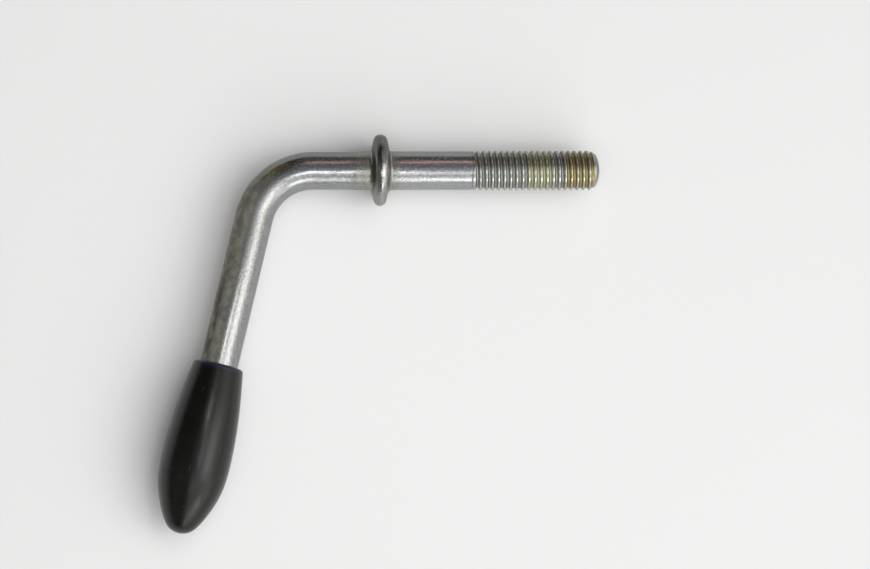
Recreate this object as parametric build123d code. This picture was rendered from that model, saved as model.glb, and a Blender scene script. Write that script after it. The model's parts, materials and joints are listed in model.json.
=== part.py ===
from build123d import *
from math import acos
from math import atan
from math import cos
from math import degrees
from math import radians
from math import sin
from math import tan
import os

# Cranked clamping handle: a bent round steel bar with a threaded end, an upset collar and a
# free-turning moulded grip. Millimetres. The origin is the centre of the collar on the thread's
# axis, +X runs along the thread to its tip, and the arm lies in the XY plane, towards -Y.

# bar
bar_d = 12.05
bar_start = -9.0
shank_d = 12.36
bend_radius = 19.5
elbow_x = -36.7
arm_lean = 13.6
arm_length = 105.0

# collar, forged in one with the bar
collar_d = 23.2
collar_rim = 3.6
collar_foot = 5.9
collar_edge = 1.45
collar_root = 0.9

# thread, 1/2-13 UNC, right hand
thread_d = 12.7
thread_pitch = 25.4 / 13
thread_start = 29.1
thread_tip = 70.5
thread_depth = 0.6134 * thread_pitch
root_flat = thread_pitch / 6
runout_turns = 1.5
overcut = 0.1
tip_face_d = 10.4
tip_dome_radius = 11.0
tip_chamfer = 3.2
tip_round = 0.9

# groove in the bar's end and the ring in it
ring_place = 92.0
ring_width = 1.6
ring_floor_d = 10.2
ring_d = 13.7
ring_gap = 40.0
groove_play = 0.1
end_chamfer = 1.0

# grip
grip_mouth = 63.75
grip_length = 54.05
grip_mouth_d = 16.1
grip_mouth_round = 1.1
grip_mouth_flare = 9.0
grip_shoulder = 12.5
grip_shoulder_d = 19.5
grip_belly = 29.7
grip_belly_d = 21.8
grip_taper = 39.1
grip_taper_d = 20.35
grip_slope = 45.3
grip_slope_d = 16.4
nose_radius = 6.0
nose_start_angle = 36.0
bore_play = 0.08
bore_lead = 0.9
bore_end_play = 1.0
ring_play = 0.25

# how far a cutter starts outside the piece, and how close counts as the same place
cut_margin = 1.0
near = 0.01

elbow = Vector(elbow_x, 0, 0)
arm_direction = Vector(-sin(radians(arm_lean)), -cos(radians(arm_lean)), 0)
bend_angle = 90 - arm_lean
bend_tangent = bend_radius * tan(radians(bend_angle / 2))
bend_start_x = elbow_x + bend_tangent


def along_arm(shape):
    """Moves a shape made along +Z from the elbow so that it runs along the arm."""
    return Plane(origin=elbow, x_dir=(0, 0, 1), z_dir=arm_direction) * shape


def along_thread(shape):
    """Moves a shape made along +Z from the collar's centre so that it runs along the thread."""
    return Plane(origin=(0, 0, 0), x_dir=(0, 0, 1), z_dir=(1, 0, 0)) * shape


def turned(half_section):
    """Solid of revolution about Z from the face of its (radius, height) half section."""
    return revolve(Plane.XZ * half_section, Axis.Z, 360)


def rod(radius, low, high):
    """Plain cylinder about Z between two heights."""
    return extrude(Plane.XY.offset(low) * Circle(radius), amount=high - low)


def collar_outline():
    """Half section of the collar and of the short stretches of bar beside it, about Z."""
    foot = collar_foot / 2
    rim = collar_rim / 2
    points = [
        (0, bar_start),
        (bar_d / 2, bar_start),
        (bar_d / 2, -foot),
        (collar_d / 2, -rim),
        (collar_d / 2, rim),
        (shank_d / 2, foot),
        (shank_d / 2, thread_start),
        (0, thread_start),
    ]
    face = make_face(Polyline(*points, close=True))
    rim_corners = [v for v in face.vertices() if v.X > collar_d / 2 - near]
    face = fillet(rim_corners, collar_edge)
    foot_corners = [v for v in face.vertices() if abs(abs(v.Y) - foot) < near]
    return fillet(foot_corners, collar_root)


def thread_blank():
    """Bar for the thread, with its rounded lead-in chamfer and domed face at the tip."""
    dome_angle = degrees(acos(tip_face_d / 2 / tip_dome_radius))
    dome = CenterArc((0, thread_tip - tip_dome_radius), tip_dome_radius, dome_angle, 90 - dome_angle)
    points = [
        dome @ 1,
        (0, thread_start),
        (thread_d / 2, thread_start),
        (thread_d / 2, thread_tip - tip_chamfer),
        dome @ 0,
    ]
    face = make_face([dome, Polyline(*points)])
    chamfer_corners = [v for v in face.vertices() if v.X > near and v.Y > thread_start + near]
    return fillet(chamfer_corners, tip_round)


def groove_section(radius, height):
    """Cutter's section: a 60 degree vee with a flat root, in the XZ plane at the given radius."""
    outer = radius + thread_depth + overcut
    half_root = root_flat / 2
    half_mouth = half_root + (thread_depth + overcut) * tan(radians(30))
    points = [
        (radius, height - half_root),
        (outer, height - half_mouth),
        (outer, height + half_mouth),
        (radius, height + half_root),
    ]
    return Plane.XZ * make_face(Polyline(*points, close=True))


def thread_groove():
    """Helical cutter: full depth along the thread, and rising out of the bar where it starts."""
    root = thread_d / 2 - thread_depth
    full_start = thread_start + runout_turns * thread_pitch
    full_length = thread_tip + thread_pitch - full_start
    full_path = Helix(thread_pitch, full_length, root, center=(0, 0, full_start))
    full = sweep(groove_section(root, full_start), path=full_path, is_frenet=True)
    rise = thread_depth + 2 * overcut
    runout_length = runout_turns * thread_pitch
    flare = degrees(atan(rise / runout_length))
    slant_pitch = thread_pitch / cos(radians(flare))
    runout_path = Helix(slant_pitch, runout_length, root, center=(0, 0, -full_start), cone_angle=flare)
    runout = sweep(groove_section(root, -full_start), path=runout_path, is_frenet=True)
    runout = Rot(X=180) * runout
    return full, runout


def ring_groove():
    """Groove turned in the bar near its end."""
    low = ring_place - ring_width / 2 - groove_play
    high = ring_place + ring_width / 2 + groove_play
    return rod(bar_d, low, high) - rod(ring_floor_d / 2, low, high)


def make_crank_bar():
    straight = along_thread(turned(collar_outline()))
    threaded = turned(thread_blank())
    for cutter in thread_groove():
        threaded -= cutter
    lead = along_thread(rod(bar_d / 2, bend_start_x, bar_start))
    bend_centre = (bend_start_x, -bend_radius, 0)
    section = Plane(origin=(bend_start_x, 0, 0), x_dir=(0, 0, 1), z_dir=(1, 0, 0)) * Circle(bar_d / 2)
    bend = revolve(section, Axis(bend_centre, (0, 0, 1)), bend_angle)
    arm = rod(bar_d / 2, bend_tangent, arm_length)
    end_edge = arm.edges().filter_by(GeomType.CIRCLE).sort_by(Axis.Z)[-1]
    arm = chamfer(end_edge, end_chamfer)
    arm -= ring_groove()
    return straight + along_thread(threaded) + lead + bend + along_arm(arm)


def make_retaining_ring():
    """Open spring ring that grips the floor of the bar's groove and stands out of it."""
    low = ring_place - ring_width / 2
    high = ring_place + ring_width / 2
    ring = rod(ring_d / 2, low, high) - rod(ring_floor_d / 2, low, high)
    wedge = Polyline(
        (0, 0),
        (ring_d, -ring_d * tan(radians(ring_gap / 2))),
        (ring_d, ring_d * tan(radians(ring_gap / 2))),
        close=True,
    )
    gap = extrude(Plane.XY.offset(low) * make_face(wedge), amount=ring_width)
    return along_arm(ring - gap)


def grip_outline():
    """Outer half section of the grip: rounded mouth, taper, belly and round nose, about Z."""
    mouth = grip_mouth
    nose = grip_mouth + grip_length
    start = radians(nose_start_angle)
    flare = radians(grip_mouth_flare)
    edge_centre = (grip_mouth_d / 2 - grip_mouth_round, mouth + grip_mouth_round)
    edge = CenterArc(edge_centre, grip_mouth_round, -90, 90)
    cap = CenterArc((0, nose - nose_radius), nose_radius, nose_start_angle, 90 - nose_start_angle)
    side = Spline(
        edge @ 1,
        (grip_shoulder_d / 2, mouth + grip_shoulder),
        (grip_belly_d / 2, mouth + grip_belly),
        (grip_taper_d / 2, mouth + grip_taper),
        (grip_slope_d / 2, mouth + grip_slope),
        cap @ 0,
        tangents=[(sin(flare), cos(flare)), (-sin(start), cos(start))],
    )
    base = Line((0, mouth), edge @ 0)
    middle = Line(cap @ 1, (0, mouth))
    return [base, edge, side, cap, middle]


def grip_bore():
    """Blind hole for the bar, with a flared mouth and a groove for the ring."""
    radius = bar_d / 2 + bore_play
    depth = arm_length + bore_end_play
    lead = [
        (0, grip_mouth - cut_margin),
        (radius + bore_lead + cut_margin, grip_mouth - cut_margin),
        (radius, grip_mouth + bore_lead),
        (0, grip_mouth + bore_lead),
    ]
    flare = turned(make_face(Polyline(*lead, close=True)))
    low = ring_place - ring_width / 2 - ring_play
    high = ring_place + ring_width / 2 + ring_play
    hole = rod(radius, grip_mouth - cut_margin, depth)
    return hole + flare + rod(ring_d / 2 + ring_play, low, high)


def make_hand_grip():
    return along_arm(turned(make_face(grip_outline())) - grip_bore())


def main():
    os.makedirs("parts", exist_ok=True)
    export_step(make_crank_bar(), "parts/crank_bar.step")
    export_step(make_hand_grip(), "parts/hand_grip.step")
    export_step(make_retaining_ring(), "parts/retaining_ring.step")


main()
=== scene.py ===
import json
import math
from types import SimpleNamespace

import bpy
import numpy as np
from mathutils import Matrix, Vector


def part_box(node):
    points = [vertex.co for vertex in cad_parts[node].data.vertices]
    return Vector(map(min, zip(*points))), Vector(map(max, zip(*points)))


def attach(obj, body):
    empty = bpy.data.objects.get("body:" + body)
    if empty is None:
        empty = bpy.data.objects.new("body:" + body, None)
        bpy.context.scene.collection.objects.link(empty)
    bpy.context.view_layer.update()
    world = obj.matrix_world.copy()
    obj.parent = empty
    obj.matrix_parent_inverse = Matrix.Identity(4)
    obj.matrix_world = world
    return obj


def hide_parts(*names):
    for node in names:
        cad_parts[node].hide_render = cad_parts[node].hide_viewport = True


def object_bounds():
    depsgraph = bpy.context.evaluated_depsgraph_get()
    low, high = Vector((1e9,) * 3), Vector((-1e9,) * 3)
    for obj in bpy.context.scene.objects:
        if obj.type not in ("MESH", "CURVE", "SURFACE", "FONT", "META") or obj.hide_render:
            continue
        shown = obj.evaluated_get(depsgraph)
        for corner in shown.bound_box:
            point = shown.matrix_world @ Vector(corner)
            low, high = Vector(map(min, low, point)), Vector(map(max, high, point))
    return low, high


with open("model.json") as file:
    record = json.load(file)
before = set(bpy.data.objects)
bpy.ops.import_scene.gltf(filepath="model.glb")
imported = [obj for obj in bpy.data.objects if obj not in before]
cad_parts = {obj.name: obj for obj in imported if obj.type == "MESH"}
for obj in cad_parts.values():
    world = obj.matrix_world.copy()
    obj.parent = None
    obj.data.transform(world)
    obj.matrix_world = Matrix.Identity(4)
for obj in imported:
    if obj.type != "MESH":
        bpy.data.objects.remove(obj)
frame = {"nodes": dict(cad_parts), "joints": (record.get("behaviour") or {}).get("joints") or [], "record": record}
cad_low, cad_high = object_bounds()

# The part's lengths are in millimetres, and MM turns them into metres. The frame gives its places.
# The camera, the lights, the floor and the depths of bumps are in metres.
MM = 0.001
spin = frame["joints"][0]
mounts = {mount["name"]: mount for mount in frame["record"]["mounts"]}
bar_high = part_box("crank_bar")[1]
ring_low, ring_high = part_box("retaining_ring")

UP = Vector((0, 0, 1))
arm_direction = Vector(spin["axis"]).normalized()
mouth_centre = Vector(spin["pos_m"])
elbow = mouth_centre - arm_direction * (mouth_centre.y / arm_direction.y)
bend_angle = math.acos(-arm_direction.x)
mouth_from_elbow = (mouth_centre - elbow).length / MM
ring_from_elbow = ((ring_low + ring_high) / 2 - elbow).dot(arm_direction) / MM

# Bar. A place along it is the distance along X from the collar's centre, carried on round the
# bend and down the arm as a negative number.
BAR_R = 6.025
BAR_SEGMENTS = 84
BEND_R = 19.5
ARM_LENGTH = 105.0
END_CHAMFER = 1.0
RING_GROOVE = 1.8
RING_GROOVE_R = 5.1
SHANK_R = mounts["shank"]["dims"]["r_mm"]

# Collar: its forged shape, and how far the blows of the dies left it uneven.
COLLAR_R = mounts["collar"]["dims"]["r_mm"]
COLLAR_RIM = mounts["collar"]["dims"]["length_mm"]
COLLAR_FOOT = 5.9
COLLAR_EDGE = 1.45
COLLAR_ROOT = 0.9
COLLAR_REACH = 12.0
COLLAR_LEAN = 0.42
RIM_CROWN = 0.26
RIM_FLAT = 0.15
RIM_WAVE = 0.06
SWELL = 0.11
DENTS = 0.014

# Thread, with rounded tips and roots, and crests that grow out of the shank.
TIP = bar_high.x / MM
THREAD_START = TIP - mounts["thread"]["dims"]["length_mm"]
THREAD_R = mounts["thread"]["dims"]["r_mm"]
THREAD_DEPTH = 0.78
THREAD_PHASE = 0.86
THREAD_SOFT = 0.05
PITCH = 25.4 / 13
CREST_FLAT = PITCH / 4
CREST_GROWTH = 6.5
RUNOUT = 1.1 * PITCH
TIP_FACE_R = 5.2
TIP_DOME_R = 11.0
TIP_CHAMFER = 3.2
TIP_LENGTH = 6.0
TIP_ROUND = 0.9

# Grip. Its knots are (distance from the mouth, radius), and its flare and nose start in degrees.
GRIP_LENGTH = 54.05
GRIP_MOUTH_R = 8.05
GRIP_MOUTH_ROUND = 1.1
GRIP_FLARE = 9.0
GRIP_KNOTS = [(12.5, 9.75), (29.7, 10.9), (39.1, 10.175), (45.3, 8.2)]
GRIP_SEGMENTS = 128
NOSE_R = 6.0
NOSE_START = 36.0
BORE_R = BAR_R + 0.08
BORE_LEAD = 0.9
BORE_DEPTH = ARM_LENGTH + 1.0 - mouth_from_elbow


def bar_frame(place):
    """Centre of the bar and its outward side, in millimetres, at a place along it."""
    tangent = BEND_R * math.tan(bend_angle / 2)
    bend_start = elbow.x / MM + tangent
    bend_end = bend_start - BEND_R * bend_angle
    if place >= bend_start:
        return Vector((place, 0, 0)), Vector((0, 1, 0))
    turned = min((bend_start - place) / BEND_R, bend_angle)
    side = Vector((-math.sin(turned), math.cos(turned), 0))
    centre = Vector((bend_start, -BEND_R, 0)) + side * BEND_R
    if place < bend_end:
        centre = centre + arm_direction * (bend_end - place)
    return centre, side


def arm_place(from_elbow):
    """Place along the bar of a point on the arm, from its distance to the elbow."""
    tangent = BEND_R * math.tan(bend_angle / 2)
    return elbow.x / MM + tangent - BEND_R * bend_angle - (from_elbow - tangent)


def arc(centre, radius, first, last, steps):
    """Points on an arc in the half section, with angles in degrees from the outward direction."""
    angles = np.radians(np.linspace(first, last, steps))
    return [(centre[0] + radius * math.sin(a), centre[1] + radius * math.cos(a)) for a in angles]


def rounded(points, radii, steps=7):
    """Rounds the corners of an open outline with arcs of the given radii, 0 for a sharp corner."""
    out = [points[0]]
    for before, corner, after, radius in zip(points, points[1:], points[2:], radii):
        if radius == 0:
            out.append(corner)
            continue
        a = (Vector(before) - Vector(corner)).normalized()
        b = (Vector(after) - Vector(corner)).normalized()
        half = a.angle(b) / 2
        reach = radius / math.tan(half)
        middle = Vector(corner) + (a + b).normalized() * (radius / math.sin(half))
        start = Vector(corner) + a * reach - middle
        end = Vector(corner) + b * reach - middle
        sweep = start.angle(end)
        for step in range(steps):
            share = step / (steps - 1)
            mix = start * math.sin((1 - share) * sweep) + end * math.sin(share * sweep)
            out.append(tuple(middle + mix / math.sin(sweep)))
    out.append(points[-1])
    return out


def evened(points, spacing):
    """The same outline with points added so that none are further apart than the spacing."""
    out = [points[0]]
    for a, b in zip(points, points[1:]):
        steps = max(1, math.ceil(math.dist(a, b) / spacing))
        out += [tuple(Vector(a).lerp(Vector(b), (i + 1) / steps)) for i in range(steps)]
    return out


def tip_outline():
    """Domed face, chamfer and first crests of the thread's tip, as (place, radius)."""
    dome_edge = math.degrees(math.asin(TIP_FACE_R / TIP_DOME_R))
    dome = arc((TIP - TIP_DOME_R, 0), TIP_DOME_R, 90, 90 - dome_edge, 9)
    chamfer = [(TIP - TIP_CHAMFER, THREAD_R), (TIP - TIP_LENGTH, THREAD_R)]
    return rounded(dome + chamfer, [0] * (len(dome) - 2) + [TIP_ROUND, TIP_ROUND])


def collar_outline():
    """Collar with its rounded rim and roots, and the bar on either side, as (place, radius)."""
    foot = COLLAR_FOOT / 2
    rim = COLLAR_RIM / 2
    points = [
        (COLLAR_REACH, SHANK_R),
        (foot, SHANK_R),
        (rim, COLLAR_R),
        (-rim, COLLAR_R),
        (-foot, BAR_R),
        (-COLLAR_REACH, BAR_R),
    ]
    return rounded(points, [COLLAR_ROOT, COLLAR_EDGE, COLLAR_EDGE, COLLAR_ROOT], steps=11)


def arm_end_outline():
    """End of the arm inside the grip, with the ring's groove and a chamfer, as (place, radius)."""
    end = arm_place(ARM_LENGTH)
    groove = arm_place(ring_from_elbow)
    half = RING_GROOVE / 2
    return [
        (groove + half, BAR_R),
        (groove + half, RING_GROOVE_R),
        (groove - half, RING_GROOVE_R),
        (groove - half, BAR_R),
        (end + END_CHAMFER, BAR_R),
        (end, BAR_R - END_CHAMFER),
        (end, 0),
    ]


def bar_outline():
    """Half section of the bar as (place, radius), from the tip's centre to the hidden end's."""
    tip = tip_outline()
    collar = collar_outline()
    arm_end = arm_end_outline()
    thread_end = THREAD_START - 0.5
    groove_edge = arm_end[0][0] + 0.01
    return (
        evened(tip, 0.07)
        + evened([tip[-1], (thread_end, THREAD_R)], 0.068)[1:]
        + evened([(thread_end, SHANK_R), collar[0]], 0.6)[1:]
        + evened(collar, 0.35)[1:]
        + evened([collar[-1], (groove_edge, BAR_R)], 0.9)[1:]
        + evened(arm_end, 2.0)
    )


def smooth(edge_low, edge_high, value):
    """0 below the low edge, 1 above the high edge, and a smooth step between them."""
    share = np.clip((value - edge_low) / (edge_high - edge_low), 0, 1)
    return share * share * (3 - 2 * share)


def ripples(seed, places, angles, wave, turns):
    """Deterministic gentle surface noise over the bar, between about -1 and 1."""
    draw = np.random.default_rng(seed)
    total = np.zeros_like(places)
    count = 14
    for _ in range(count):
        along = draw.uniform(0.3, 1.0) * 2 * math.pi / wave
        around = draw.integers(0, turns + 1)
        shift = draw.uniform(0, 2 * math.pi)
        total += np.cos(along * places + around * angles + shift)
    return total / math.sqrt(count)


def above_zero(value):
    """The value where it is positive and 0 elsewhere, with the corner between them rounded."""
    corner = (value + THREAD_SOFT) ** 2 / (4 * THREAD_SOFT)
    return np.where(value > THREAD_SOFT, value, np.where(value < -THREAD_SOFT, 0, corner))


def thread_cut(places, angles):
    """Depth of the thread's groove below the crests, with rounded crests and roots."""
    phase = places / PITCH - angles / (2 * math.pi) + THREAD_PHASE
    from_groove = np.abs(phase - np.floor(phase) - 0.5) * PITCH
    wall = (PITCH / 2 - CREST_FLAT / 2 - from_groove) * math.tan(math.radians(60))
    lift = THREAD_DEPTH * (1 - smooth(THREAD_START - 0.8, THREAD_START + RUNOUT, places))
    cut = above_zero(wall - lift)
    cut = cut - above_zero(cut - (THREAD_DEPTH - lift))
    return np.where(places < THREAD_START - 0.2, 0, cut)


def threaded_radius(places, radii, angles):
    """Radius of the turned outline with the thread cut into it."""
    in_thread = (places > THREAD_START - 0.6) & (radii > 0)
    growth = smooth(THREAD_START, THREAD_START + CREST_GROWTH, places)
    grown = SHANK_R + (THREAD_R - SHANK_R) * growth
    cut = np.minimum(np.minimum(radii, grown), grown - thread_cut(places, angles))
    return np.where(in_thread, cut, radii)


def forged_height(places, radii, angles):
    """Height added by the forging: a swelling and dents beside the collar, and its crowned rim."""
    arm_side = smooth(-10.5, -8.0, places) * (1 - smooth(-3.2, -2.6, places))
    shank_side = smooth(2.6, 3.2, places) * (1 - smooth(5.0, 7.5, places))
    dents = DENTS * (arm_side + shank_side) * ripples(11, places, angles, 3.0, 5)
    swell = SWELL * smooth(-12.0, -5.0, places) * (1 - smooth(-3.0, -2.0, places))
    on_bar = (radii > 5) & (radii < 8)
    wave = smooth(COLLAR_R - 3, COLLAR_R, radii) * RIM_WAVE * ripples(23, places, angles, 30.0, 4)
    crown = RIM_CROWN * smooth(0.0, 1.3, np.abs(places))
    crown += RIM_FLAT * smooth(0.3, 1.0, np.sin(angles))
    crown *= smooth(COLLAR_R - 2.2, COLLAR_R - 0.8, radii)
    return np.where(on_bar, swell + dents, 0) + wave - crown


def collar_lean(places, radii, angles):
    """How far the collar's thread side leans back along the bar, on the inner side of the bend."""
    inner = smooth(-0.1, 0.9, np.sin(angles))
    thread_side = smooth(-0.4, 1.4, places) * (1 - smooth(3.2, 6.0, places))
    return -COLLAR_LEAN * inner * thread_side * smooth(SHANK_R, SHANK_R + 1.5, radii)


def per_vertex(values):
    """One value or vector for each vertex, from a grid whose first and last rings are one point."""
    inner = values[1:-1].reshape(-1, *values.shape[2:])
    return np.concatenate([values[:1, 0], inner, values[-1:, 0]])


def grid_mesh(name, spots, unrolled):
    """Closed mesh of rings, the first and last of which are single points on the axis."""
    verts = per_vertex(spots) * MM
    faces = []
    last = spots.shape[0] - 3
    columns = spots.shape[1]

    def at(row, column):
        return 1 + row * columns + column % columns

    for column in range(columns):
        after = column + 1
        faces.append((0, at(0, column), at(0, after)))
        faces.append((len(verts) - 1, at(last, after), at(last, column)))
        for row in range(last):
            beyond = row + 1
            faces.append((at(row, column), at(beyond, column), at(beyond, after), at(row, after)))
    mesh = bpy.data.meshes.new(name)
    mesh.from_pydata([tuple(v) for v in verts], [], faces)
    mesh.shade_smooth()
    layer = mesh.attributes.new("unrolled", "FLOAT_VECTOR", "POINT")
    layer.data.foreach_set("vector", (per_vertex(unrolled) * MM).astype(np.float32).ravel())
    obj = bpy.data.objects.new(name, mesh)
    bpy.context.scene.collection.objects.link(obj)
    return obj


def ring_grid(outline, segments):
    """Places, turned radii and angles of all points on the rings that an outline's points make."""
    turns = np.arange(segments) / segments
    places, angles = np.meshgrid(outline[:, 0], turns * 2 * math.pi, indexing="ij")
    return places, np.repeat(outline[:, 1:2], segments, axis=1), angles


def make_bar():
    outline = np.array(bar_outline())
    places, turned, angles = ring_grid(outline, BAR_SEGMENTS)
    radii = threaded_radius(places, turned, angles) + forged_height(places, turned, angles)
    radii = np.where(turned > 0, radii, 0)
    frames = [bar_frame(place) for place in outline[:, 0]]
    centres = np.array([tuple(centre) for centre, _ in frames])[:, None, :]
    sides = np.array([tuple(side) for _, side in frames])[:, None, :]
    across = -np.sin(angles) * radii
    height = np.cos(angles) * radii
    spots = centres + across[..., None] * sides + height[..., None] * np.array(UP)
    spots[..., 0] += collar_lean(places, radii, angles)
    unrolled = np.stack([places, across, height], axis=-1)
    bar = grid_mesh("crank_bar_steel", spots, unrolled)
    depth = bar.data.attributes.new("groove_depth", "FLOAT", "POINT")
    depth.data.foreach_set("value", per_vertex(turned - radii).astype(np.float32))
    return bar


def spline(points, first, last, steps):
    """Points on the smooth curve through the given ones, with its two end directions given."""
    knots = np.array(points, float)
    gaps = np.linalg.norm(np.diff(knots, axis=0), axis=1)
    count = len(knots)
    matrix = np.zeros((count, count))
    right = np.zeros((count, 2))
    matrix[0, 0] = matrix[-1, -1] = 1
    right[0] = Vector(first).normalized()
    right[-1] = Vector(last).normalized()
    for i in range(1, count - 1):
        matrix[i, i - 1] = 1 / gaps[i - 1]
        matrix[i, i] = 2 / gaps[i - 1] + 2 / gaps[i]
        matrix[i, i + 1] = 1 / gaps[i]
        before = (knots[i] - knots[i - 1]) / gaps[i - 1] ** 2
        after = (knots[i + 1] - knots[i]) / gaps[i] ** 2
        right[i] = 3 * (before + after)
    slopes = np.linalg.solve(matrix, right)
    out = []
    for i, gap in enumerate(gaps):
        for t in np.arange(steps) / steps:
            a = (2 * t**3 - 3 * t**2 + 1) * knots[i] + (t**3 - 2 * t**2 + t) * gap * slopes[i]
            b = (3 * t**2 - 2 * t**3) * knots[i + 1] + (t**3 - t**2) * gap * slopes[i + 1]
            out.append(tuple(a + b))
    out.append(tuple(knots[-1]))
    return out


def grip_outline():
    """Half section of the grip as (distance from the mouth, radius), from its nose to its bore."""
    start = math.radians(NOSE_START)
    flare = math.radians(GRIP_FLARE)
    nose = arc((GRIP_LENGTH - NOSE_R, 0), NOSE_R, 90, NOSE_START, 14)
    nose[0] = (GRIP_LENGTH, 0)
    edge_centre = (GRIP_MOUTH_ROUND, GRIP_MOUTH_R - GRIP_MOUTH_ROUND)
    edge = arc(edge_centre, GRIP_MOUTH_ROUND, 0, -90, 9)
    side = spline(
        [nose[-1], *reversed(GRIP_KNOTS), edge[0]],
        (-math.cos(start), math.sin(start)),
        (-math.cos(flare), -math.sin(flare)),
        22,
    )
    bore = [
        edge[-1],
        (0, BORE_R + BORE_LEAD),
        (BORE_LEAD, BORE_R),
        (BORE_DEPTH, BORE_R),
        (BORE_DEPTH, 0),
    ]
    bore = rounded(bore, [0.25, 0.4, 0.5], steps=5)
    return nose + side[1:] + edge[1:] + evened(bore, 1.2)[1:]


def make_grip():
    outline = np.array(grip_outline())
    places, radii, angles = ring_grid(outline, GRIP_SEGMENTS)
    across = radii * np.sin(angles)
    height = radii * np.cos(angles)
    spots = (
        np.array(mouth_centre) / MM
        + places[..., None] * np.array(arm_direction)
        + across[..., None] * np.array(arm_direction.cross(UP))
        + height[..., None] * np.array(UP)
    )
    unrolled = np.stack([places, across, height], axis=-1)
    return grid_mesh("hand_grip_plastic", spots, unrolled)


class Graph:
    """Short forms for building a node tree."""

    def __init__(self, tree):
        self.tree = tree

    def add(self, kind, inputs, output=0, **settings):
        """Adds a node, sets or links its inputs by name or number, and returns one output."""
        node = self.tree.nodes.new(kind)
        for name, value in settings.items():
            setattr(node, name, value)
        for name, value in inputs.items():
            if isinstance(value, bpy.types.NodeSocket):
                self.tree.links.new(value, node.inputs[name])
            else:
                node.inputs[name].default_value = value
        return node.outputs[output]

    def link(self, value, node, name):
        self.tree.links.new(value, node.inputs[name])

    def math(self, operation, first, second=0.0, third=0.0):
        inputs = {0: first, 1: second, 2: third}
        return self.add("ShaderNodeMath", inputs, operation=operation)

    def times(self, *values):
        total = values[0]
        for value in values[1:]:
            total = self.math("MULTIPLY", total, value)
        return total

    def step(self, value, low, high, start=0.0, end=1.0):
        """Smooth step of a value from start at low to end at high."""
        inputs = {"Value": value, "From Min": low, "From Max": high, "To Min": start, "To Max": end}
        return self.add("ShaderNodeMapRange", inputs, interpolation_type="SMOOTHSTEP")

    def band(self, value, low, high, soft):
        """1 between two values, with soft edges."""
        inside = self.step(value, low - soft, low + soft)
        return self.times(inside, self.step(value, high - soft, high + soft, 1.0, 0.0))

    def spread(self, value, low, high):
        """Straight share from 0 at low to 1 at high."""
        return self.add("ShaderNodeMapRange", {0: value, 1: low, 2: high})

    def stretched(self, vector, factors):
        return self.add("ShaderNodeVectorMath", {0: vector, 1: factors}, operation="MULTIPLY")

    def brightened(self, colour, factor):
        return self.add("ShaderNodeVectorMath", {0: colour, "Scale": factor}, operation="SCALE")

    def noise(self, vector, scale, detail, roughness, distortion=0.0):
        inputs = {
            "Vector": vector,
            "Scale": scale,
            "Detail": detail,
            "Roughness": roughness,
            "Distortion": distortion,
        }
        return self.add("ShaderNodeTexNoise", inputs)

    def blend(self, share, first, second):
        """Mixes two colours."""
        first = first if isinstance(first, bpy.types.NodeSocket) else (*first, 1)
        second = second if isinstance(second, bpy.types.NodeSocket) else (*second, 1)
        return self.add("ShaderNodeMix", {0: share, 6: first, 7: second}, 2, data_type="RGBA")

    def coated(self, colour, layers):
        """Lays (share, colour) layers over a colour, one after another."""
        for share, layer in layers:
            colour = self.blend(share, colour, layer)
        return colour

    def bump(self, height, distance, normal=None):
        inputs = {"Height": height, "Distance": distance, "Strength": 1.0}
        if normal is not None:
            inputs["Normal"] = normal
        return self.add("ShaderNodeBump", inputs)

    def ramp(self, value, stops):
        """Colour ramp over (position, colour) stops, with positions from 0 to 1."""
        colour = self.add("ShaderNodeValToRGB", {0: value})
        elements = colour.node.color_ramp.elements
        while len(elements) < len(stops):
            elements.new(1.0)
        for element, (place, shade) in zip(elements, stops):
            element.position = place
            element.color = (*shade, 1)
        return colour


def start_material(name):
    material = bpy.data.materials.new(name)
    material.use_nodes = True
    return material, Graph(material.node_tree), material.node_tree.nodes["Principled BSDF"]


def unrolled_place(graph):
    """The surface point on the straightened piece, in millimetres, and its three parts."""
    place = graph.add("ShaderNodeAttribute", {}, 1, attribute_name="unrolled")
    point = graph.stretched(place, (1 / MM, 1 / MM, 1 / MM))
    return point, graph.add("ShaderNodeSeparateXYZ", {0: point}).node.outputs


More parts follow.
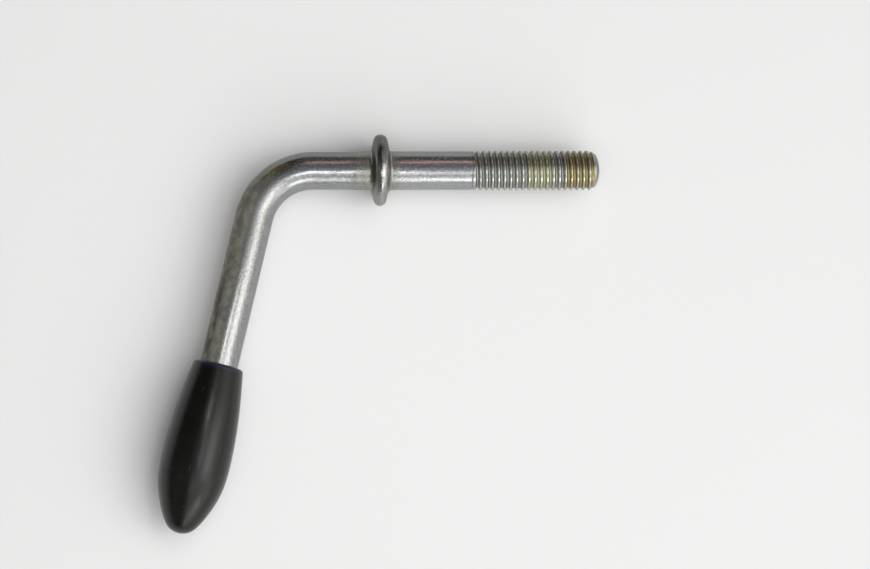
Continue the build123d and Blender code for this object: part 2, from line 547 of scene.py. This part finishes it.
def bar_fields(graph):
    """Noises over the straightened bar, and shares that say which part of it a point is on."""
    point, (place, across, height) = unrolled_place(graph)
    squares = graph.math("ADD", graph.math("POWER", across, 2), graph.math("POWER", height, 2))
    reach = graph.math("SQRT", squares)
    bar = SimpleNamespace(point=point, place=place)
    bar.outer = graph.math("DIVIDE", across, reach)
    bar.crystals = graph.noise(point, 1.5, 2.0, 0.6)
    bar.cloud = graph.noise(point, 0.16, 3.0, 0.55)
    bar.patch = graph.noise(graph.stretched(point, (0.35, 0.5, 0.5)), 1.0, 4.0, 0.6)
    bar.streaks = graph.noise(graph.stretched(point, (0.05, 1.5, 1.5)), 1.0, 3.0, 0.6)
    bar.depth = graph.add("ShaderNodeAttribute", {}, 2, attribute_name="groove_depth")

    bar.on_arm = graph.step(place, -44.0, -24.0, 1.0, 0.0)
    bar.on_collar = graph.step(reach, THREAD_R + 0.3, THREAD_R + 1.2)
    bar.on_thread = graph.step(place, THREAD_START - 0.3, THREAD_START + 0.3)
    bar.root = graph.times(bar.on_thread, graph.step(bar.depth, 0.2, 0.6))
    bar.crest = graph.times(bar.on_thread, graph.step(bar.depth, 0.06, 0.24, 1.0, 0.0))

    ragged = graph.math("ADD", place, graph.math("MULTIPLY_ADD", bar.patch, 1.6, -0.8))
    arm_die = graph.times(graph.step(ragged, -11.5, -5.0), graph.step(ragged, -1.0, 0.0, 1.0, 0.0))
    shank_die = graph.times(graph.step(ragged, 0.5, 1.5), graph.step(ragged, 3.2, 7.5, 1.0, 0.0))
    bar.die_mark = graph.math("MAXIMUM", arm_die, shank_die)
    cloudy = graph.step(bar.cloud, 0.2, 0.6, 0.65, 1.0)
    bar.stain = graph.times(graph.step(bar.outer, -0.25, 0.45), cloudy, bar.on_arm)
    return bar


def arm_stains_and_shade(graph, bar):
    """Layers of colour for the outer side of the arm and bend: olive stains and tarnish, and painted shade on the
    outward side, its edge and the arm's rim.
    """
    off_arm = graph.step(bar.on_arm, 0.0, 1.0, 1.0, 0.0)
    olive = graph.step(bar.patch, 0.3, 0.7)
    olive = graph.blend(olive, (0.275, 0.267, 0.225), (0.42, 0.41, 0.34))
    # Painted shade: off the arm, the outward side is darker and greener.
    outer_side_shade = graph.step(bar.outer, 0.1, 0.85)
    # Painted shade: the outward edge of the arm and the bar is darkened.
    ragged = graph.math("MULTIPLY_ADD", bar.patch, 0.3, graph.math("SUBTRACT", bar.outer, 0.15))
    edge = graph.step(ragged, 0.5, 0.8)
    # Painted shade: a dark band along the arm's outward rim stands in for a reflection of shaded floor.
    rim = graph.band(bar.outer, 0.66, 0.90, 0.07)
    rim = graph.times(rim, graph.step(bar.place, -80.0, -58.0, 0.8, 0.4))
    tarnish = graph.times(graph.step(bar.patch, 0.45, 0.62), graph.step(bar.outer, -0.95, -0.3))
    return [
        (graph.times(bar.stain, 0.85), olive),
        (graph.times(outer_side_shade, off_arm, 0.65), (0.26, 0.285, 0.275)),
        (graph.times(edge, bar.on_arm, 0.75), (0.13, 0.125, 0.095)),
        (graph.times(edge, off_arm, 0.5), (0.22, 0.24, 0.23)),
        (graph.times(rim, bar.on_arm), (0.035, 0.034, 0.026)),
        (graph.times(tarnish, bar.on_arm, 0.35), (0.38, 0.37, 0.29)),
    ]


def collar_marks_and_shade(graph, bar):
    """Layers of colour for the forged zones and the bend's yellow trace, with a painted shadow on the collar's arm
    side and painted shade on its outward side.
    """
    trace = graph.times(graph.band(bar.place, -37.0, -27.0, 3.0), bar.streaks)
    trace = graph.times(trace, graph.band(bar.outer, 0.28, 0.62, 0.12))
    shadow = graph.band(bar.place, -4.6, -2.2, 0.9)
    shadow = graph.times(shadow, graph.step(bar.outer, -0.7, 0.3), 0.2)
    # Painted shade: the collar's outward side is darkened, broken up by a cloud noise.
    painted_outer_shade = graph.times(bar.on_collar, graph.step(bar.outer, -0.1, 0.5))
    painted_outer_shade = graph.times(painted_outer_shade, graph.step(bar.cloud, 0.3, 0.6, 0.6, 0.9))
    return [
        (graph.times(bar.die_mark, 0.6), (0.27, 0.265, 0.215)),
        (trace, (0.42, 0.34, 0.11)),
        (shadow, (0.20, 0.215, 0.18)),
        (painted_outer_shade, (0.11, 0.125, 0.11)),
    ]


def thread_wear_and_shade(graph, bar):
    """Layers of colour for the thread: painted shade in the roots, worn crests, a yellow zone, a brown end, and
    painted shade on its outward side and at the tip.
    """
    ragged = graph.math("ADD", bar.place, graph.math("MULTIPLY_ADD", bar.patch, 2.4, -1.2))
    worn = graph.times(bar.crest, graph.step(bar.patch, 0.35, 0.6, 0.55, 0.95))
    start_line = graph.band(bar.place, THREAD_START - 0.15, THREAD_START + 0.35, 0.2)
    yellow = graph.times(graph.band(ragged, 46.6, 55.0, 1.0), bar.on_thread)
    brown = graph.times(graph.step(ragged, 58.2, 59.6), bar.on_thread)
    brown = graph.times(brown, graph.step(bar.depth, 0.1, 0.5, 0.2, 0.9))
    # Painted shade: the thread's outward side is darkened.
    painted_outer_shade = graph.times(bar.on_thread, graph.step(bar.outer, -0.1, 0.5))
    # Painted shade: the last part of the tip is darkened.
    tip = graph.step(bar.place, TIP - 1.7, TIP - 1.1)
    return [
        # Painted shade in the thread's roots.
        (graph.times(bar.root, 0.9), (0.31, 0.32, 0.275)),
        (worn, (0.52, 0.52, 0.51)),
        (graph.times(start_line, 0.55), (0.18, 0.185, 0.17)),
        (graph.times(yellow, 0.45), (0.54, 0.53, 0.31)),
        (brown, (0.36, 0.29, 0.10)),
        (graph.times(painted_outer_shade, 0.38), (0.15, 0.15, 0.115)),
        (graph.times(tip, 0.85), (0.15, 0.15, 0.14)),
    ]


def zinc_steel():
    """Dull zinc plating with crystals, stains, pits, worn crests and a brown end of the thread, and painted shade
    on its outward side, edges, thread roots and tip and beside the collar.
    """
    material, graph, shader = start_material("zinc_plated_steel")
    bar = bar_fields(graph)

    zinc = graph.blend(bar.cloud, (0.35, 0.355, 0.365), (0.41, 0.415, 0.41))
    zinc = graph.coated(zinc, arm_stains_and_shade(graph, bar) + collar_marks_and_shade(graph, bar))
    zinc = graph.brightened(zinc, graph.step(bar.place, -12.0, -3.0, 0.84, 1.0))
    zinc = graph.coated(zinc, thread_wear_and_shade(graph, bar))
    zinc = graph.brightened(zinc, graph.step(bar.crystals, 0.25, 0.75, 0.82, 1.15))
    spots = graph.noise(bar.point, 2.3, 1.0, 0.4)
    spots = graph.math("MULTIPLY_ADD", graph.step(bar.outer, -0.1, 0.5), 0.045, spots)
    pits = graph.step(spots, 0.70, 0.78)
    zinc = graph.blend(graph.times(pits, bar.on_arm, 0.7), zinc, (0.10, 0.095, 0.07))
    graph.link(zinc, shader, "Base Color")

    dull = graph.times(bar.stain, graph.step(bar.patch, 0.3, 0.7, 0.40, 0.52))
    graph.link(graph.math("SUBTRACT", 1.0, dull), shader, "Metallic")
    shader.inputs["Specular Tint"].default_value = (0.75, 0.76, 0.75, 1)

    roughness = graph.step(bar.crystals, 0.3, 0.7, 0.10, 0.18)
    added = [(bar.on_arm, 0.08), (bar.die_mark, 0.17), (bar.on_thread, 0.04), (bar.root, 0.28)]
    for share, amount in added:
        roughness = graph.math("MULTIPLY_ADD", share, amount, roughness)
    graph.link(roughness, shader, "Roughness")

    relief = graph.bump(bar.crystals, 0.00003)
    relief = graph.bump(bar.streaks, 0.00004, relief)
    relief = graph.bump(graph.times(bar.die_mark, bar.crystals), 0.00003, relief)
    relief = graph.bump(graph.times(pits, -1.0), 0.00003, relief)
    graph.link(relief, shader, "Normal")
    return material


def black_plastic():
    """Satin black moulding with fine lengthwise streaks, a pebbled grain, a few scratches and a painted purple
    sheen at the mouth.
    """
    material, graph, shader = start_material("moulded_black_plastic")
    point, (place, _, _) = unrolled_place(graph)
    streaks = graph.noise(graph.stretched(point, (0.04, 1.3, 1.3)), 1.0, 3.0, 0.55)
    cloud = graph.noise(point, 0.13, 2.0, 0.5)
    grain = graph.noise(point, 3.2, 2.0, 0.5)
    scratches = graph.noise(graph.stretched(point, (0.10, 3.2, 3.2)), 1.0, 1.0, 0.4, 0.3)
    scratches = graph.step(scratches, 0.74, 0.77)
    # Painted sheen: a purple tint near the mouth stands in for a reflection on its lip.
    mouth = graph.step(place, 0.4, 2.2, 1.0, 0.0)

    black = graph.blend(cloud, (0.0028, 0.0029, 0.0020), (0.0044, 0.0045, 0.0034))
    black = graph.blend(graph.times(mouth, 0.8), black, (0.019, 0.015, 0.032))
    black = graph.blend(graph.times(scratches, 0.5), black, (0.055, 0.055, 0.052))
    graph.link(black, shader, "Base Color")

    roughness = graph.step(streaks, 0.3, 0.7, 0.20, 0.24)
    roughness = graph.math("ADD", roughness, graph.step(cloud, 0.3, 0.7, 0.0, 0.05))
    roughness = graph.math("MULTIPLY_ADD", scratches, 0.2, roughness)
    graph.link(roughness, shader, "Roughness")
    shader.inputs["Specular IOR Level"].default_value = 0.4

    relief = graph.bump(grain, 0.00002)
    relief = graph.bump(streaks, 0.00002, relief)
    relief = graph.bump(graph.times(scratches, -1.0), 0.00002, relief)
    graph.link(relief, shader, "Normal")
    return material


def spring_steel():
    """Dark oiled spring steel with a fine drawn grain round the ring."""
    material, graph, shader = start_material("oiled_spring_steel")
    spot = graph.add("ShaderNodeTexCoord", {}, 3)
    point = graph.stretched(spot, (1 / MM, 1 / MM, 1 / MM))
    film = graph.noise(point, 0.35, 3.0, 0.6)
    drawn = graph.noise(graph.stretched(point, (1.0, 6.0, 1.0)), 1.2, 3.0, 0.6)
    steel = graph.blend(film, (0.13, 0.13, 0.135), (0.26, 0.25, 0.24))
    steel = graph.blend(graph.step(drawn, 0.55, 0.75, 0.0, 0.4), steel, (0.34, 0.33, 0.32))
    graph.link(steel, shader, "Base Color")
    shader.inputs["Metallic"].default_value = 1.0
    graph.link(graph.step(film, 0.3, 0.7, 0.25, 0.42), shader, "Roughness")
    graph.link(graph.bump(drawn, 0.00003), shader, "Normal")
    return material


def pale_floor():
    material, _, shader = start_material("pale_floor")
    shader.inputs["Base Color"].default_value = (0.68, 0.68, 0.68, 1)
    shader.inputs["Roughness"].default_value = 0.9
    return material


FLOOR_SIZE = 6.0


def make_floor():
    bpy.ops.mesh.primitive_plane_add(size=FLOOR_SIZE, location=(0, 0, cad_low.z))
    floor = bpy.context.object
    floor.name = "studio_floor"
    floor.data.materials.append(pale_floor())


VIEW_FROM = Vector((-0.08, -0.12, 0.989)).normalized()
VIEW_TARGET = Vector((16.98, -36.74, 0)) * MM
VIEW_DISTANCE = 0.7695
VIEW_ROLL = math.radians(-0.276)


def make_camera():
    data = bpy.data.cameras.new("camera")
    data.lens = 100
    data.sensor_width = 36
    camera = bpy.data.objects.new("camera", data)
    bpy.context.scene.collection.objects.link(camera)
    right = Vector((1, 0, 0)) - VIEW_FROM * VIEW_FROM.x
    right.normalize()
    up = VIEW_FROM.cross(right)
    turned_right = right * math.cos(VIEW_ROLL) + up * math.sin(VIEW_ROLL)
    turned_up = up * math.cos(VIEW_ROLL) - right * math.sin(VIEW_ROLL)
    axes = Matrix((turned_right, turned_up, VIEW_FROM)).transposed().to_4x4()
    camera.matrix_world = Matrix.Translation(VIEW_TARGET + VIEW_FROM * VIEW_DISTANCE) @ axes
    bpy.context.scene.camera = camera


# Brightness of the room's middle strip, round the X axis, by the angle in degrees from overhead
# towards +Y.
ROOM_ROUND_X = [
    (-90, (0.80, 0.80, 0.80)),
    (-80, (1.05, 1.05, 1.05)),
    (-73, (2.10, 2.10, 2.10)),
    (-61, (2.30, 2.30, 2.30)),
    (-54, (1.15, 1.16, 1.18)),
    (-38, (0.90, 0.91, 0.94)),
    (-30, (1.55, 1.55, 1.55)),
    (-20, (1.75, 1.75, 1.75)),
    (-14, (0.85, 0.86, 0.90)),
    (-5, (0.48, 0.49, 0.53)),
    (8, (0.27, 0.27, 0.30)),
    (31, (0.24, 0.22, 0.23)),
    (38, (1.05, 0.66, 0.62)),
    (46, (1.05, 0.66, 0.62)),
    (52, (0.15, 0.14, 0.13)),
    (78, (0.15, 0.15, 0.14)),
    (90, (0.50, 0.51, 0.50)),
]

# Brightness of the room on either side of the middle strip, by the direction's X.
ROOM_ALONG_X = [
    (-1.0, (0.12, 0.12, 0.11)),
    (-0.75, (0.24, 0.24, 0.23)),
    (-0.35, (0.15, 0.15, 0.14)),
    (-0.16, (0.17, 0.16, 0.18)),
    (-0.06, (0.62, 0.62, 0.65)),
    (0.10, (1.20, 1.20, 1.23)),
    (0.42, (1.35, 1.35, 1.36)),
    (0.55, (1.65, 1.65, 1.61)),
    (0.80, (1.80, 1.81, 1.74)),
    (0.92, (1.30, 1.31, 1.24)),
    (1.0, (0.80, 0.81, 0.79)),
]
ROOM_MIDDLE_X = 0.08
HORIZON = (0.72, 0.72, 0.715)


def make_world():
    world = bpy.data.worlds.new("studio")
    world.use_nodes = True
    graph = Graph(world.node_tree)
    direction = graph.add("ShaderNodeTexCoord", {})
    x, y, z = graph.add("ShaderNodeSeparateXYZ", {0: direction}).node.outputs
    turn = graph.spread(graph.math("ARCTAN2", y, z), -math.pi / 2, math.pi / 2)
    round_x = graph.ramp(turn, [((angle + 90) / 180, shade) for angle, shade in ROOM_ROUND_X])
    side = graph.spread(x, -1.0, 1.0)
    along_x = graph.ramp(side, [((share + 1) / 2, shade) for share, shade in ROOM_ALONG_X])
    along_x = graph.brightened(along_x, graph.step(y, 0.05, 0.35, 1.0, 0.28))
    off_middle = graph.math("ABSOLUTE", graph.math("SUBTRACT", x, ROOM_MIDDLE_X))
    room = graph.blend(graph.step(off_middle, 0.05, 0.16), round_x, along_x)
    room = graph.blend(graph.step(z, 0.06, 0.11, 1.0, 0.0), room, HORIZON)
    graph.link(room, graph.tree.nodes["Background"], "Color")
    bpy.context.scene.world = world


def make_light(name, place, target, size, glow, reflected=True):
    """Soft rectangular light facing its target, of the given brightness per area, out of view."""
    data = bpy.data.lights.new(name, "AREA")
    data.shape = "RECTANGLE"
    data.size, data.size_y = size
    data.energy = glow * math.pi * size[0] * size[1]
    light = bpy.data.objects.new(name, data)
    bpy.context.scene.collection.objects.link(light)
    light.location = place
    light.rotation_mode = "QUATERNION"
    light.rotation_quaternion = (Vector(place) - Vector(target)).to_track_quat("Z", "Y")
    light.visible_camera = False
    light.visible_glossy = reflected


bar = make_bar()
bar.data.materials.append(zinc_steel())
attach(bar, "bar")
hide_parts("crank_bar")

grip = make_grip()
grip.data.materials.append(black_plastic())
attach(grip, "grip")
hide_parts("hand_grip")

ring = frame["nodes"]["retaining_ring"]
ring.data.materials.clear()
ring.data.materials.append(spring_steel())

make_floor()
make_camera()
make_world()
make_light("window", (0.60, -0.22, 0.75), (-0.05, -0.05, 0), (0.38, 0.50), 1.6)
make_light("low_window", (0.30, -0.80, 0.42), (0, 0, 0), (0.40, 0.20), 2.2)
make_light("arm_strip", (-0.029, -0.042, 0.15), (-0.048, -0.042, 0), (0.024, 0.020), 7.0)
make_light("bar_strip", (0.008, -0.09, 0.25), (-0.01, 0, 0), (0.024, 0.03), 6.0)
make_light("key", (0.30, -0.25, 1.10), (0, 0, 0), (1.60, 1.60), 1.45, reflected=False)

bpy.context.scene.view_settings.view_transform = "Standard"
